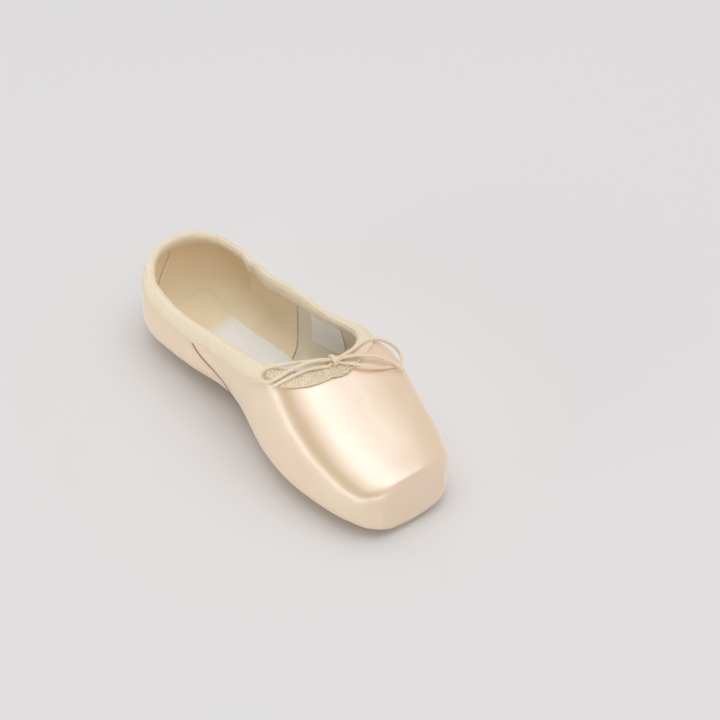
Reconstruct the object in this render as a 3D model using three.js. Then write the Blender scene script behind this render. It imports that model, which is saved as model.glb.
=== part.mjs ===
// A satin pointe shoe, standing empty on its leather sole.
//
// The upper is a single hollow shell over a straight last: one wall that is thin round the quarters and
// thick at the blocked toe, open at the collar and underneath. A leather outsole closes it from below and
// a sock insole from above. A folded tape binds the collar and carries a thin cord, whose ends come out
// at the throat and are tied in a bow.
//
// Millimetres, +Z up. The toe points to -Y and the origin is on the floor, under the middle of the shoe.
// Along the shoe, "t" is the distance from the back of the heel, so y = LENGTH / 2 - t.

import * as THREE from "three";

// ---- Driving dimensions ------------------------------------------------------------------------------

const LENGTH = 236; // back of the heel to the platform at the tip of the toe
const HEEL_CENTRE = 34; // t of the middle of the round heel, where its profiles fan out from
const TOE_CENTRE = 146; // t of the point that the toe's profiles fan out from
const PLATFORM_ROUND = 4.2; // depth of the rounding at the platform's edge
const HEEL_PLAN_POWER = 2.3; // roundness of the heel from above: 2 is an ellipse, more is squarer
const HEEL_BACK_POWER = 2.3; // the same for its back, from the side
const HEEL_BASE_POWER = 4.5; // the same where its back turns under
const PLATFORM_POWER = 8; // how flat the platform is

const QUARTER_WALL = 1.8; // satin, canvas and lining
const BLOCK_WALL = 3.2; // hardened layers round the toes
const PLATFORM_WALL = 6; // the block's solid tip

const SOLE_GAP = 0.5; // clearance between the sole, the sock and the upper
const SOLE_THICKNESS = 2.5;
const SOLE_WEAR = 0.3; // how much of the sole's crown is pressed flat where it rests
const SOCK_THICKNESS = 2;
const LASTING_MARGIN = 7; // how far the upper wraps in over the sole

const TAPE_OUTSIDE = [0, 0.3, 0.65, 1]; // rows of the binding down the outside, as shares of its depth
const TAPE_INSIDE = [0, 1.9, 3.8, 5.6]; // rows of the binding down the inside
const TAPE_DEPTH = 11; // the binding's depth outside
const TAPE_DEPTH_LEFT = 12.5; // the same beside the throat, where the drawstring gathers it: left of the bow
const TAPE_DEPTH_RIGHT = 6; // and right of the bow
const TAPE_THICKNESS = 0.9;
const TAPE_GAP = 0.65; // clearance between the binding and the wall that it folds over
const CASING = 2.4; // the cord's casing stands this far above the wall's edge

const CORD_DIAMETER = 2;

// ---- Tables of the last ------------------------------------------------------------------------------

// The last, station by station: half width, height of the widest point, height of the underside, height
// of the crown (behind the throat it is only where the walls would meet), and the roundness of the upper
// and lower halves of the section, where 2 is an ellipse and more is squarer.
const LAST = [
  { t: 0, half: 33, waist: 26, under: 3.1, crown: 80, upper: 2.2, lower: 2.6 },
  { t: 30, half: 35, waist: 26, under: 3.1, crown: 70, upper: 2.2, lower: 2.6 },
  { t: 60, half: 34, waist: 26, under: 4.6, crown: 88, upper: 2.2, lower: 2.6 },
  { t: 90, half: 32.5, waist: 25, under: 8.5, crown: 90, upper: 2.2, lower: 2.6 },
  { t: 120, half: 35, waist: 23, under: 7, crown: 84, upper: 2.3, lower: 2.8 },
  { t: 150, half: 41, waist: 22, under: 3.2, crown: 77, upper: 2.8, lower: 3 },
  { t: 175, half: 44, waist: 21, under: 3.1, crown: 65.5, upper: 3, lower: 3 },
  { t: 200, half: 41.5, waist: 20, under: 3.1, crown: 51.5, upper: 3, lower: 3 },
  { t: 222, half: 35.5, waist: 18.5, under: 3.3, crown: 41.5, upper: 2.8, lower: 3 },
  { t: 236, half: 20.5, waist: 17.5, under: 4, crown: 37, upper: 2.8, lower: 3 },
];

// The collar's line from the side, from the back of the heel to past the throat.
const COLLAR = [
  { t: 0, height: 57.5 },
  { t: 14, height: 55.5 },
  { t: 30, height: 50.5 },
  { t: 60, height: 49.5 },
  { t: 90, height: 53 },
  { t: 120, height: 59 },
  { t: 146, height: 68 },
  { t: 164, height: 71 },
  { t: 190, height: 72 },
];

// The outsole's outline: half its width, before its two ends are rounded.
const SOLE = [
  { t: 0, half: 17 },
  { t: 30, half: 19 },
  { t: 60, half: 16.5 },
  { t: 90, half: 13 },
  { t: 120, half: 17 },
  { t: 150, half: 25 },
  { t: 178, half: 27 },
  { t: 210, half: 23 },
];
const SOLE_HEEL_END = 9;
const SOLE_HEEL_ROUND = 18;
const SOLE_TOE_END = 209;
const SOLE_TOE_ROUND = 17;
const SOCK_HEEL_END = 9;
const SOCK_TOE_END = 202;
const SOCK_TOE_ROUND = 26;
const SOCK_SHARE = 0.7; // how much of the width inside it covers

// Directions of the profiles, in degrees from straight ahead. They are closer round the platform's edge.
const HEEL_FAN = [180, 168, 156, 144, 132, 120, 110, 100];
const SIDE_STEPS = 12;
const TOE_FAN = [88, 78, 68, 58, 48, 39, 31, 25, 20.5, 17, 14.5, 12.5, 11, 9, 5, 0];

const OUTER_ROWS = 14;
const INNER_ROWS = 11;

// ---- Curves through a table --------------------------------------------------------------------------

// A smooth curve through one column of a table, with no overshoot between its rows.
function along(table, column, t) {
  const rows = table.length;
  const at = Math.min(Math.max(t, table[0].t), table[rows - 1].t);
  let k = 0;
  while (k < rows - 2 && at > table[k + 1].t) k++;
  const step = (i) => table[i + 1].t - table[i].t;
  const rise = (i) => (table[i + 1][column] - table[i][column]) / step(i);
  const slope = (i) => {
    if (i === 0) return rise(0);
    if (i === rows - 1) return rise(rows - 2);
    const before = rise(i - 1);
    const after = rise(i);
    if (before * after <= 0) return 0;
    const a = step(i - 1);
    const b = step(i);
    return (3 * (a + b)) / ((2 * b + a) / before + (b + 2 * a) / after);
  };
  const h = step(k);
  const s = (at - table[k].t) / h;
  return (
    (2 * s ** 3 - 3 * s ** 2 + 1) * table[k][column] +
    (s ** 3 - 2 * s ** 2 + s) * h * slope(k) +
    (3 * s ** 2 - 2 * s ** 3) * table[k + 1][column] +
    (s ** 3 - s ** 2) * h * slope(k + 1)
  );
}

// The point where a rising test first turns true, between two values.
function turningPoint(low, high, isPast) {
  let from = low;
  let to = high;
  for (let i = 0; i < 40; i++) {
    const middle = (from + to) / 2;
    if (isPast(middle)) to = middle;
    else from = middle;
  }
  return (from + to) / 2;
}

const toWorld = (x, t, z) => new THREE.Vector3(x, LENGTH / 2 - t, z);

// ---- The last ----------------------------------------------------------------------------------------

// Thickness of the wall along the shoe.
function wallAt(t) {
  const s = THREE.MathUtils.smoothstep(t, 118, 160);
  return THREE.MathUtils.lerp(QUARTER_WALL, BLOCK_WALL, s);
}

// The last's cross-section at one station, shrunk by a depth counted in wall thicknesses. The two ends of
// the shoe are rounded by letting the section close down; null is beyond the back of the heel.
function sectionAt(t, depth) {
  const inset = depth * wallAt(t);
  const middle = along(LAST, "waist", t);
  const intoHeel = Math.max(0, (HEEL_CENTRE - t) / (HEEL_CENTRE - inset));
  if (intoHeel >= 1) return null;
  const close = (power) => (1 - intoHeel ** power) ** (1 / power);
  return {
    middle,
    half: (along(LAST, "half", t) - inset) * close(HEEL_PLAN_POWER),
    rise: (along(LAST, "crown", t) - inset - middle) * close(HEEL_BACK_POWER),
    drop: (middle - along(LAST, "under", t) - inset) * close(HEEL_BASE_POWER),
    upper: along(LAST, "upper", t),
    lower: along(LAST, "lower", t),
  };
}

// How far a point is outside the shrunken last: below 0 is inside and above 0 is outside.
function outside(x, t, z, depth) {
  const section = sectionAt(t, depth);
  if (section === null) return 1;
  const above = z >= section.middle;
  const power = above ? section.upper : section.lower;
  const reach = above ? section.rise : section.drop;
  const across = Math.abs(x / section.half) ** power;
  const level = (across + Math.abs((z - section.middle) / reach) ** power) ** (1 / power);
  const intoTip = (t - (LENGTH - PLATFORM_ROUND - depth * PLATFORM_WALL)) / PLATFORM_ROUND;
  if (intoTip <= 0) return level - 1;
  if (intoTip >= 1) return intoTip;
  return (level ** PLATFORM_POWER + intoTip ** 2) ** (1 / PLATFORM_POWER) - 1;
}

// Height of the shrunken last's underside under a point of its plan.
function underside(x, t, depth) {
  const section = sectionAt(t, depth);
  const across = Math.min(0.999, Math.abs(x) / section.half);
  return section.middle - section.drop * (1 - across ** section.lower) ** (1 / section.lower);
}

// The profiles: each is a vertical half plane that starts on the shoe's middle line at "from" and leaves
// in a direction. They go once round the shoe, from the back of the heel along the +X side.
function makeProfiles() {
  const half = [];
  for (const angle of HEEL_FAN) half.push({ from: HEEL_CENTRE, angle });
  for (let i = 0; i <= SIDE_STEPS; i++) {
    const from = THREE.MathUtils.lerp(HEEL_CENTRE, TOE_CENTRE, i / SIDE_STEPS);
    half.push({ from, angle: 90 });
  }
  for (const angle of TOE_FAN) half.push({ from: TOE_CENTRE, angle });
  const other = half.slice(1, -1).reverse();
  return [...half, ...other.map((p) => ({ from: p.from, angle: -p.angle }))].map((p) => {
    const radians = THREE.MathUtils.degToRad(p.angle);
    return { from: p.from, sideways: Math.sin(radians), ahead: Math.cos(radians) };
  });
}

// Where a ray in a profile's plane leaves the last: out is the distance from the middle line in plan.
function cast(profile, elevation, depth) {
  const middle = along(LAST, "waist", profile.from);
  const cosine = Math.cos(elevation);
  const sine = Math.sin(elevation);
  const reach = turningPoint(0, 160, (r) => {
    const out = r * cosine;
    return outside(out * profile.sideways, profile.from + out * profile.ahead, middle + r * sine, depth) > 0;
  });
  return { out: reach * cosine, z: middle + reach * sine };
}

const tOf = (profile, point) => profile.from + point.out * profile.ahead;
const xOf = (profile, point) => point.out * profile.sideways;

// ---- Outlines of the sole and of the opening that it closes ------------------------------------------

// Half width of the sole's outline, moved in by an inset; 0 beyond its two ends.
function soleHalf(t, inset) {
  const intoHeel = (SOLE_HEEL_END + inset + SOLE_HEEL_ROUND - t) / SOLE_HEEL_ROUND;
  const intoToe = (t - (SOLE_TOE_END - inset - SOLE_TOE_ROUND)) / SOLE_TOE_ROUND;
  const into = Math.min(1, Math.max(0, intoHeel, intoToe));
  return (along(SOLE, "half", t) - inset) * Math.sqrt(1 - into ** 2.4);
}

// How far out a profile meets the edge of the opening underneath.
function openingReach(profile) {
  return turningPoint(0, 120, (out) => {
    const t = profile.from + out * profile.ahead;
    const half = soleHalf(t, LASTING_MARGIN);
    return half <= 0 || Math.abs(out * profile.sideways) >= half;
  });
}

// ---- The wall's profile ------------------------------------------------------------------------------

// The elevation of the collar's edge on the outside.
function rimElevation(profile) {
  const high = THREE.MathUtils.degToRad(89.9);
  return turningPoint(THREE.MathUtils.degToRad(-10), high, (elevation) => {
    const point = cast(profile, elevation, 0);
    return point.z > along(COLLAR, "height", tOf(profile, point));
  });
}

// A fine line of points down one side of the wall, from the collar to the opening underneath.
function wallLine(profile, depth, top) {
  const reach = openingReach(profile);
  const low = THREE.MathUtils.degToRad(-89.9);
  const bottom = turningPoint(-top, -low, (down) => {
    const point = cast(profile, -down, depth);
    return point.z < along(LAST, "waist", profile.from) && point.out < reach;
  });
  const line = [];
  for (let i = 0; i <= 160; i++) {
    line.push(cast(profile, THREE.MathUtils.lerp(top, -bottom, i / 160), depth));
  }
  return line;
}

// The rows of one side of the wall: at the collar's given depths, then spread evenly to the opening, but
// closer where the line turns.
function spread(line, depths, count, turnWeight) {
  const at = [0];
  const length = [0];
  let heading = null;
  for (let i = 1; i < line.length; i++) {
    const across = line[i].out - line[i - 1].out;
    const down = line[i].z - line[i - 1].z;
    const now = Math.atan2(down, across);
    let turn = heading === null ? 0 : Math.abs(now - heading);
    if (turn > Math.PI) turn = 2 * Math.PI - turn;
    heading = now;
    length.push(length[i - 1] + Math.hypot(across, down));
    at.push(at[i - 1] + Math.hypot(across, down) + turnWeight * Math.min(turn, 0.4));
  }
  const pick = (scale, want) => {
    let k = 0;
    while (k < scale.length - 2 && scale[k + 1] < want) k++;
    const s = (want - scale[k]) / (scale[k + 1] - scale[k]);
    return {
      out: THREE.MathUtils.lerp(line[k].out, line[k + 1].out, s),
      z: THREE.MathUtils.lerp(line[k].z, line[k + 1].z, s),
      weight: THREE.MathUtils.lerp(at[k], at[k + 1], s),
    };
  };
  const result = depths.map((depth) => pick(length, depth));
  const start = result[result.length - 1].weight;
  const end = at[at.length - 1];
  for (let j = 1; j <= count; j++) result.push(pick(at, THREE.MathUtils.lerp(start, end, j / count)));
  return result;
}

// The inner edge of the collar: the point inside that is nearest to the outer edge.
function innerRimElevation(profile, rim) {
  const outer = cast(profile, rim, 0);
  let best = rim;
  let nearest = Infinity;
  for (let i = -60; i <= 60; i++) {
    const elevation = rim + THREE.MathUtils.degToRad(i * 0.15);
    const point = cast(profile, elevation, 1);
    const apart = Math.hypot(point.out - outer.out, point.z - outer.z);
    if (apart < nearest) {
      nearest = apart;
      best = elevation;
    }
  }
  return best;
}

// The binding's depth down the outside at a point of the wall's edge.
function tapeDepth(x, t) {
  const beside = THREE.MathUtils.smoothstep(t, 128, 156);
  const across = THREE.MathUtils.smoothstep(x, -14, 20);
  const gathered = THREE.MathUtils.lerp(TAPE_DEPTH_LEFT, TAPE_DEPTH_RIGHT, across);
  return THREE.MathUtils.lerp(TAPE_DEPTH, gathered, beside);
}

const walls = makeProfiles().map((profile) => {
  const rim = rimElevation(profile);
  const outer = wallLine(profile, 0, rim);
  const inner = wallLine(profile, 1, innerRimElevation(profile, rim));
  const depth = tapeDepth(xOf(profile, outer[0]), tOf(profile, outer[0]));
  const tape = TAPE_OUTSIDE.map((share) => share * depth);
  return { profile, outer, inner, tape };
});

// ---- Building closed solids --------------------------------------------------------------------------

function solid(name, positions, triangles, finish) {
  const geometry = new THREE.BufferGeometry();
  geometry.setAttribute("position", new THREE.Float32BufferAttribute(positions.flatMap((p) => p.toArray()), 3));
  geometry.setIndex(triangles);
  geometry.computeVertexNormals();
  const mesh = new THREE.Mesh(geometry, new THREE.MeshStandardMaterial(finish));
  mesh.name = name;
  return mesh;
}

// A closed ring: the same closed section at every profile, joined all the way round.
function ring(name, sections, finish) {
  const around = sections.length;
  const points = sections[0].length;
  const triangles = [];
  for (let i = 0; i < around; i++) {
    const next = (i + 1) % around;
    for (let j = 0; j < points; j++) {
      const below = (j + 1) % points;
      const a = i * points + j;
      const b = next * points + j;
      const c = next * points + below;
      const d = i * points + below;
      triangles.push(a, b, c, a, c, d);
    }
  }
  return solid(name, sections.flat(), triangles, finish);
}

// A closed slab: rows along the shoe, each with the same number of points on its top and underneath.
function slab(name, rows, finish) {
  const across = rows[0].top.length;
  const positions = [];
  for (const row of rows) positions.push(...row.top, ...row.under);
  const at = (i, j, side) => i * 2 * across + side * across + j;
  const triangles = [];
  const quad = (a, b, c, d) => triangles.push(a, b, c, a, c, d);
  for (let i = 0; i < rows.length - 1; i++) {
    for (let j = 0; j < across - 1; j++) {
      quad(at(i, j, 0), at(i + 1, j, 0), at(i + 1, j + 1, 0), at(i, j + 1, 0));
      quad(at(i, j, 1), at(i, j + 1, 1), at(i + 1, j + 1, 1), at(i + 1, j, 1));
    }
    quad(at(i, 0, 0), at(i, 0, 1), at(i + 1, 0, 1), at(i + 1, 0, 0));
    quad(at(i, across - 1, 0), at(i + 1, across - 1, 0), at(i + 1, across - 1, 1), at(i, across - 1, 1));
  }
  const last = rows.length - 1;
  for (let j = 0; j < across - 1; j++) {
    quad(at(0, j, 0), at(0, j + 1, 0), at(0, j + 1, 1), at(0, j, 1));
    quad(at(last, j, 0), at(last, j, 1), at(last, j + 1, 1), at(last, j + 1, 0));
  }
  return solid(name, positions, triangles, finish);
}

// ---- Upper -------------------------------------------------------------------------------------------

function makeUpper() {
  const sections = walls.map(({ profile, outer, inner, tape }) => {
    const down = spread(outer, tape, OUTER_ROWS, 9);
    const up = spread(inner, TAPE_INSIDE, INNER_ROWS, 9).reverse();
    return [...down, ...up].map((point) => toWorld(xOf(profile, point), tOf(profile, point), point.z));
  });
  return ring("upper", sections, { color: 0xe9cdb0, roughness: 0.45, metalness: 0 });
}

// ---- Outsole and insole ------------------------------------------------------------------------------

const ROWS_ALONG = 30;
const COLUMNS_ACROSS = 11;

// Rows from one end of an outline to the other, closer together at its round ends.
function rowsBetween(start, end) {
  const rows = [];
  for (let i = 0; i <= ROWS_ALONG; i++) {
    const even = i / ROWS_ALONG;
    const eased = 0.5 - 0.5 * Math.cos(Math.PI * even);
    rows.push(THREE.MathUtils.lerp(start, end, 0.45 * even + 0.55 * eased));
  }
  return rows;
}

// Columns across a row, a little closer together at its edges.
function columnsBetween(half) {
  const columns = [];
  for (let j = 0; j < COLUMNS_ACROSS; j++) {
    const s = -1 + (2 * j) / (COLUMNS_ACROSS - 1);
    columns.push(half * Math.sin((s * Math.PI) / 2) * 0.55 + half * s * 0.45);
  }
  return columns;
}

function makeOutsole() {
  const rows = rowsBetween(SOLE_HEEL_END + 0.6, SOLE_TOE_END - 0.6).map((t) => {
    const columns = columnsBetween(soleHalf(t, 0));
    const top = columns.map((x) => toWorld(x, t, underside(x, t, 0) - SOLE_GAP));
    const under = columns.map((x) => {
      const z = underside(x, t, 0) - SOLE_GAP - SOLE_THICKNESS - SOLE_WEAR;
      return toWorld(x, t, Math.max(0, z));
    });
    return { top, under };
  });
  return slab("outsole", rows, { color: 0x8a6a4c, roughness: 0.8, metalness: 0 });
}

// Height of the sock's underside: it lies on the lining, round the opening and over it.
const sockFloor = (x, t) => underside(x, t, 1) + SOLE_GAP + 0.4;

function makeInsole() {
  const rows = rowsBetween(SOCK_HEEL_END, SOCK_TOE_END).map((t) => {
    const intoToe = Math.min(1, Math.max(0, (t - (SOCK_TOE_END - SOCK_TOE_ROUND)) / SOCK_TOE_ROUND));
    const half = sectionAt(t, 1).half * SOCK_SHARE * Math.sqrt(1 - 0.9 * intoToe ** 2.4);
    const columns = columnsBetween(half);
    const top = columns.map((x) => toWorld(x, t, sockFloor(x, t) + SOCK_THICKNESS));
    const under = columns.map((x) => toWorld(x, t, sockFloor(x, t)));
    return { top, under };
  });
  return slab("insole", rows, { color: 0xe8e6e2, roughness: 0.85, metalness: 0 });
}

// ---- Collar binding ----------------------------------------------------------------------------------

// A point near the collar: "down" is measured along one side of the wall from its edge, and "off" is out
// from the last, square to its surface.
function besideWall(profile, line, depth, down, off) {
  let travelled = 0;
  let k = 1;
  let step = 0;
  while (k < line.length - 1) {
    step = Math.hypot(line[k].out - line[k - 1].out, line[k].z - line[k - 1].z);
    if (travelled + step >= down) break;
    travelled += step;
    k++;
  }
  const s = (down - travelled) / step;
  const point = {
    out: line[k - 1].out + (line[k].out - line[k - 1].out) * s,
    z: line[k - 1].z + (line[k].z - line[k - 1].z) * s,
  };
  const onWall = down < 0 ? line[0] : point;
  const x = xOf(profile, onWall);
  const t = tOf(profile, onWall);
  const level = (dx, dt, dz) => outside(x + dx, t + dt, onWall.z + dz, depth);
  const small = 0.05;
  const normal = new THREE.Vector3(
    level(small, 0, 0) - level(-small, 0, 0),
    level(0, -small, 0) - level(0, small, 0),
    level(0, 0, small) - level(0, 0, -small),
  ).normalize();
  return toWorld(xOf(profile, point), tOf(profile, point), point.z).addScaledVector(normal, off);
}

function makeBinding() {
  const near = TAPE_GAP;
  const far = TAPE_GAP + TAPE_THICKNESS;
  const sections = walls.map(({ profile, outer, inner, tape }) => {
    const onOuter = (down, off) => besideWall(profile, outer, 0, down, off);
    const onInner = (down, off) => besideWall(profile, inner, 1, down, -off);
    const section = tape.map((down) => onOuter(down, far));
    section.push(...tape.slice(1).reverse().map((down) => onOuter(down, near)));
    section.push(onOuter(-TAPE_GAP, near), onInner(-TAPE_GAP, near));
    section.push(...TAPE_INSIDE.slice(1).map((down) => onInner(down, near)));
    section.push(...[...TAPE_INSIDE].reverse().map((down) => onInner(down, far)));
    section.push(onInner(-CASING * 0.7, far * 0.6));
    section.push(onOuter(-CASING, 0).lerp(onInner(-CASING, 0), 0.5));
    section.push(onOuter(-CASING * 0.7, far * 0.6));
    return section;
  });
  return ring("collar_binding", sections, { color: 0xe6cfae, roughness: 0.8, metalness: 0 });
}

// ---- Bow ---------------------------------------------------------------------------------------------

// The knot sits on the binding at the throat, a little to the left of the middle.
const KNOT = { x: -2, t: 165.3, height: 74.5, radii: [2.6, 2.8, 1.8] };

// Routes of the cord's middle line, measured from the knot: across the shoe, towards the toe, and up.
const BOW = {
  drawstring_loop_left: [
    [-4, -2.2, 0.3],
    [-8.7, -4.4, 1.1],
    [-14, -7.2, 1.6],
    [-18.5, -10, 1.3],
    [-23, -13.5, 0.2],
    [-27, -18, -1.9],
    [-30.5, -21.8, -4.8],
    [-33.4, -23, -8],
    [-35, -20.4, -9.8],
    [-34, -15.6, -8.6],
    [-30, -11.4, -4.9],
    [-24.5, -8.6, -0.9],
    [-20, -6.4, 1.5],
    [-15, -4.6, 3.2],
    [-9, -2.2, 3.4],
    [-4, -0.4, 2.3],
  ],
  drawstring_end_left: [
    [-4, 1.3, -1.2],
    [-10, -0.6, -0.4],
    [-15, -2.6, -0.3],
    [-19, -3.6, -0.7],
    [-23, -5, -1.9],
    [-27.5, -7, -4],
    [-30.6, -9, -6.4],
    [-33.4, -11.4, -9.6],
  ],
  drawstring_loop_right: [
    [4, 0.2, -0.4],
    [9.5, 0.2, -0.2],
    [14.5, -0.6, -0.4],
    [20, -2, -0.8],
    [26.5, -3.6, -2.4],
    [34, -4.4, -6],
    [39.5, -2.4, -9.4],
    [42.8, 1.6, -12.6],
    [43.4, 5.8, -15.4],
    [41, 9.6, -16.8],
    [36.4, 12, -15.6],
    [31, 12.8, -13],
    [25.6, 13, -10.7],
    [20.4, 12.2, -8.5],
    [15.9, 10.6, -6.4],
    [12, 8, -4.6],
    [8.4, 5.6, -3.2],
    [4, 3.4, -2.1],
  ],
  drawstring_end_right: [
    [4, 2.4, 1.2],
    [9, 3.1, 0.3],
    [14, 4.2, -1.1],
    [18.5, 5.5, -2.8],
    [23, 7.1, -4.6],
    [27.1, 9.2, -6.8],
    [30.2, 11.4, -8.8],
    [33, 14, -11.2],
    [35.2, 15.8, -13.7],
    [36.4, 16.6, -16],
  ],
};

const CORD_SIDES = 8;

function makeCord(name, route) {
  const points = route.map(([x, ahead, up]) => toWorld(KNOT.x + x, KNOT.t + ahead, KNOT.height + up));
  const path = new THREE.CatmullRomCurve3(points, false, "centripetal");
  const outline = [];
  for (let i = 0; i < CORD_SIDES; i++) {
    const angle = (2 * Math.PI * i) / CORD_SIDES;
    const radius = CORD_DIAMETER / 2;
    outline.push(new THREE.Vector2(radius * Math.cos(angle), radius * Math.sin(angle)));
  }
  const steps = Math.round(path.getLength() / (2.2 * CORD_DIAMETER));
  const geometry = new THREE.ExtrudeGeometry(new THREE.Shape(outline), {
    extrudePath: path,
    steps,
    bevelEnabled: false,
  });
  const finish = { color: 0xe9c9a6, roughness: 0.75, metalness: 0 };
  const mesh = new THREE.Mesh(geometry, new THREE.MeshStandardMaterial(finish));
  mesh.name = name;
  return mesh;
}

function makeKnot() {
  const geometry = new THREE.SphereGeometry(1, 14, 9);
  geometry.scale(...KNOT.radii);
  const at = toWorld(KNOT.x, KNOT.t, KNOT.height);
  geometry.translate(at.x, at.y, at.z);
  const finish = { color: 0xe4c29c, roughness: 0.8, metalness: 0 };
  const mesh = new THREE.Mesh(geometry, new THREE.MeshStandardMaterial(finish));
  mesh.name = "drawstring_knot";
  return mesh;
}

// ---- The shoe ----------------------------------------------------------------------------------------

const shoe = new THREE.Group();
shoe.name = "pointe_shoe";
shoe.add(makeUpper(), makeOutsole(), makeInsole(), makeBinding(), makeKnot());
for (const [name, route] of Object.entries(BOW)) shoe.add(makeCord(name, route));

export default shoe;
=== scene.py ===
import math

import bpy
import numpy as np
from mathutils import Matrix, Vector
from mathutils.bvhtree import BVHTree


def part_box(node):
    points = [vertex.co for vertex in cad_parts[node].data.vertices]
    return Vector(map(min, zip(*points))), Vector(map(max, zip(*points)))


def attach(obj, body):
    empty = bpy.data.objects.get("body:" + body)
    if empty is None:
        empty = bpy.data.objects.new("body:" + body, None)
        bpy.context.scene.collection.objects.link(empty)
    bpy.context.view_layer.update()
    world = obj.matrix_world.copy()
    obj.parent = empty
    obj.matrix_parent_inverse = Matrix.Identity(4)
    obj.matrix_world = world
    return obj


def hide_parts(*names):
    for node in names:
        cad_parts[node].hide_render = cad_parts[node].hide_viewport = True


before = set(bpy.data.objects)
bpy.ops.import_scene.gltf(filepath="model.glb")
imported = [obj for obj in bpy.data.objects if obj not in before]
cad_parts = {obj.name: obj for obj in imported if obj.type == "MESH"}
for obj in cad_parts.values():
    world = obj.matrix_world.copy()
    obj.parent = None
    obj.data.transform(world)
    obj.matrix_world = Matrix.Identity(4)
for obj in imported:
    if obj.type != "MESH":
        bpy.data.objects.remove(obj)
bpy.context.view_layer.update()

bpy.ops.object.select_all(action="DESELECT")


# ---- Camera ----------------------------------------------------------------------------------------
# Looks down on the shoe from in front of its left side, where x is negative, from about one and a half
# metres.

VIEW_AZIMUTH = math.radians(-38.1)
VIEW_ELEVATION = math.radians(41.8)
VIEW_DISTANCE = 1.52
VIEW_AIM = Vector((0.0457, -0.0105, 0.0224))
LENS = 130

bpy.ops.object.camera_add()
camera = bpy.context.object
camera.name = "camera"
towards_camera = Vector((
    math.sin(VIEW_AZIMUTH) * math.cos(VIEW_ELEVATION),
    -math.cos(VIEW_AZIMUTH) * math.cos(VIEW_ELEVATION),
    math.sin(VIEW_ELEVATION),
))
camera.location = VIEW_AIM + VIEW_DISTANCE * towards_camera
camera.rotation_euler = towards_camera.to_track_quat("Z", "Y").to_euler()
camera.data.lens = LENS
camera.data.clip_end = 20
bpy.context.scene.camera = camera


# ---- Drawstring --------------------------------------------------------------------------------------
# One thin braided cotton cord. It runs hidden in the collar's casing, comes out at the throat and is
# tied there in a small bow: two loops, two bare ends and the knot between them.

MM = 0.001
HEEL_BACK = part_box("upper")[1].y  # the toe points to -Y, so the back of the heel has the highest y
CORD_DIAMETER = 2 * MM
STRAND_RADIUS = 0.95 * MM  # in the knot, where the cord is drawn tight
KNOT_CENTRE = Vector((-2 * MM, HEEL_BACK - 165.3 * MM, 74.5 * MM))

# Each route is measured from the knot in millimetres: across the shoe, towards the toe, and up.
BOW_ROUTES = {
    "drawstring_loop_left": [
        (-4, -2.2, 0.3), (-8.7, -4.4, 1.1), (-14, -7.2, 1.6), (-18.5, -10, 1.3), (-23, -13.5, 0.2),
        (-27, -18, -1.9), (-30.5, -21.8, -4.8), (-33.4, -23, -8), (-35, -20.4, -9.8),
        (-34, -15.6, -8.6), (-30, -11.4, -4.9), (-24.5, -8.6, -0.9), (-20, -6.4, 1.5),
        (-15, -4.6, 3.2), (-9, -2.2, 3.4), (-4, -0.4, 2.3),
    ],
    "drawstring_end_left": [
        (-4, 1.3, -1.2), (-10, -0.6, -0.4), (-15, -2.6, -0.3), (-19, -3.6, -0.7), (-23, -5, -1.9),
        (-27.5, -7, -4), (-30.6, -9, -6.4), (-33.4, -11.4, -9.6),
    ],
    "drawstring_loop_right": [
        (4, 0.2, -0.4), (9.5, 0.2, -0.2), (14.5, -0.6, -0.4), (20, -2, -0.8), (26.5, -3.6, -2.4),
        (34, -4.4, -6), (39.5, -2.4, -9.4), (42.8, 1.6, -12.6), (43.4, 5.8, -15.4), (41, 9.6, -16.8),
        (36.4, 12, -15.6), (31, 12.8, -13), (25.6, 13, -10.7), (20.4, 12.2, -8.5), (15.9, 10.6, -6.4),
        (12, 8, -4.6), (8.4, 5.6, -3.2), (4, 3.4, -2.1),
    ],
    "drawstring_end_right": [
        (4, 2.4, 1.2), (9, 3.1, 0.3), (14, 4.2, -1.1), (18.5, 5.5, -2.8), (23, 7.1, -4.6),
        (27.1, 9.2, -6.8), (30.2, 11.4, -8.8), (33, 14, -11.2), (35.2, 15.8, -13.7), (36.4, 16.6, -16),
    ],
}


def from_knot(point):
    """A place given in millimetres from the knot: across, towards the toe, and up."""
    return KNOT_CENTRE + Vector((point[0], -point[1], point[2])) * MM


def smooth_route(points, step=0.8 * MM):
    """Evenly spaced points on a smooth curve through the given ones, and the curve's length."""
    cuts = 24
    ends = [points[0] * 2 - points[1]] + list(points) + [points[-1] * 2 - points[-2]]
    fine = []
    for a, b, c, d in zip(ends, ends[1:], ends[2:], ends[3:]):
        for i in range(cuts):
            s = i / cuts
            fine.append(0.5 * (2 * b + (c - a) * s + (2 * a - 5 * b + 4 * c - d) * s ** 2
                               + (3 * b - a - 3 * c + d) * s ** 3))
    fine.append(points[-1])
    along = [0.0]
    for a, b in zip(fine, fine[1:]):
        along.append(along[-1] + (b - a).length)
    count = max(2, round(along[-1] / step))
    result = []
    k = 0
    for i in range(count + 1):
        want = along[-1] * i / count
        while k < len(along) - 2 and along[k + 1] < want:
            k += 1
        result.append(fine[k].lerp(fine[k + 1], (want - along[k]) / (along[k + 1] - along[k])))
    return result, along[-1]


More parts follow.
